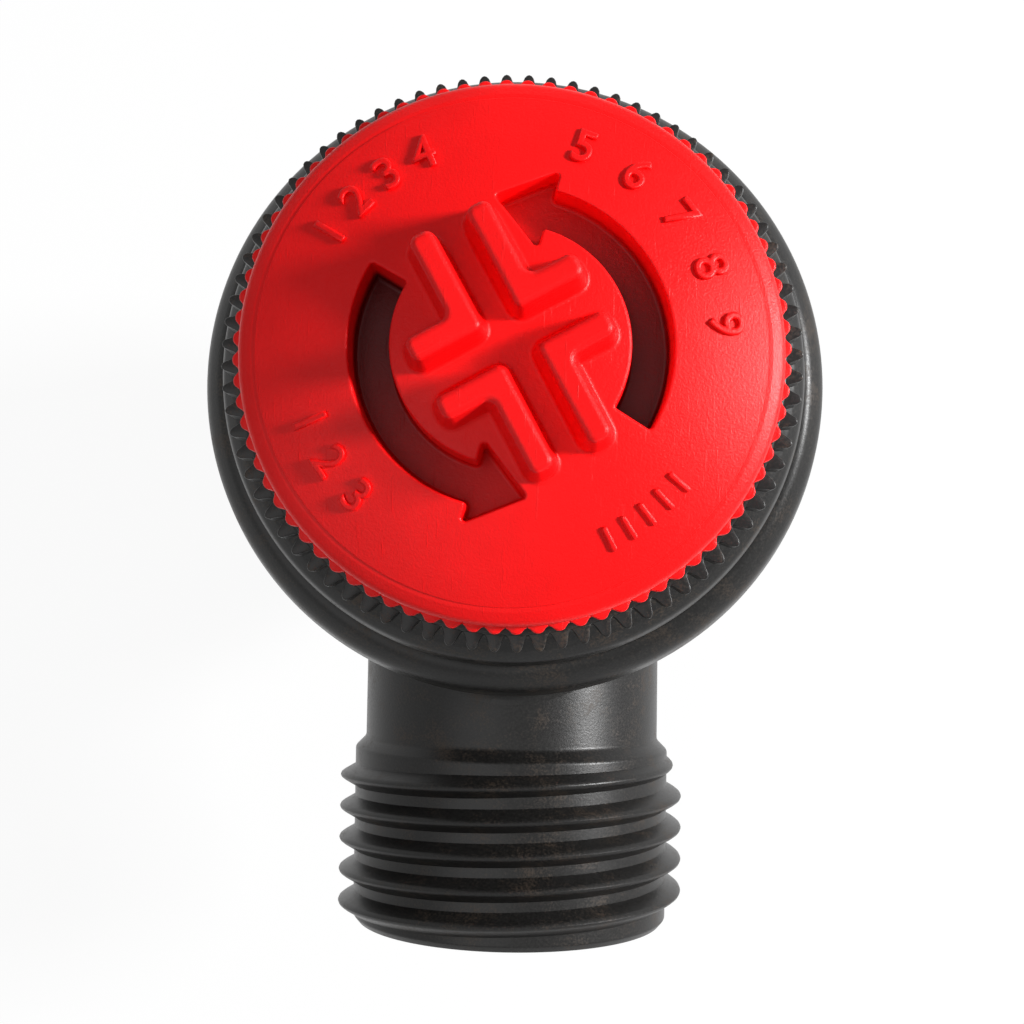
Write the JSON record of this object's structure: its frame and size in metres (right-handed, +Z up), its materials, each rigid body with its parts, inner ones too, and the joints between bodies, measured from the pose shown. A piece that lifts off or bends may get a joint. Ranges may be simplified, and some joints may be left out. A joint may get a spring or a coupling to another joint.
{
  "type": "diaphragm safety valve",
  "caption": "Angle-pattern diaphragm safety valve with a knurled turn-to-lift cap, a push-in inlet spigot and a threaded outlet.",
  "frame": {"origin": "centre of the inlet spigot's end face", "axes": "+Z up the valve's axis from the inlet to the cap, -Y out of the outlet, +X to the right in the picture"},
  "size_m": [0.0322, 0.0459, 0.0526],
  "materials": {
    "cap": "red moulded, lightly scuffed",
    "bonnet": "black glass-filled moulded",
    "body": "black glass-filled moulded",
    "nut": "black moulded",
    "seat": "turned",
    "stem": "turned",
    "stem_nut": "turned",
    "spring": "drawn stainless wire",
    "plates": "pressed stainless",
    "screw": "turned stainless",
    "ring": "spring steel",
    "rubber": "moulded rubber",
    "slip_plastic": "smooth natural plastic",
    "holder": "grey-black moulded"
  },
  "bodies": {
    "housing": {"valve_body": "body", "seat_insert": "seat", "inlet_o_ring_lower": "rubber", "inlet_o_ring_upper": "rubber", "diaphragm": "rubber", "slip_washer": "slip_plastic", "bonnet": "bonnet", "adjusting_nut": "nut", "upper_spring_plate": "plates", "spring": "spring"},
    "lift_group": {"disc_holder": "holder", "seat_seal": "rubber", "seal_washer": "plates", "seal_screw": "screw", "diaphragm_plate": "plates", "nut_washer": "plates", "stem_nut": "stem_nut", "stem": "stem"},
    "cap_group": {"cap": "cap", "cap_retaining_ring": "ring"}
  },
  "joints": [
    {"name": "stem_lift", "type": "slide", "parent": "housing", "child": "lift_group", "axis": [0, 0, 1], "range_m": [0, 0.0016], "stiffness_N_per_m": 5500, "deforming": ["spring", "diaphragm"]},
    {"name": "cap_turn", "type": "hinge", "parent": "lift_group", "child": "cap_group", "pos_m": [0, 0, 0.047], "axis": [0, 0, 1], "range_deg": [0, 75]}
  ],
  "couplings": [
    {"joint": "cap_turn", "follows": "stem_lift", "rad_per_m": 818.1}
  ]
}
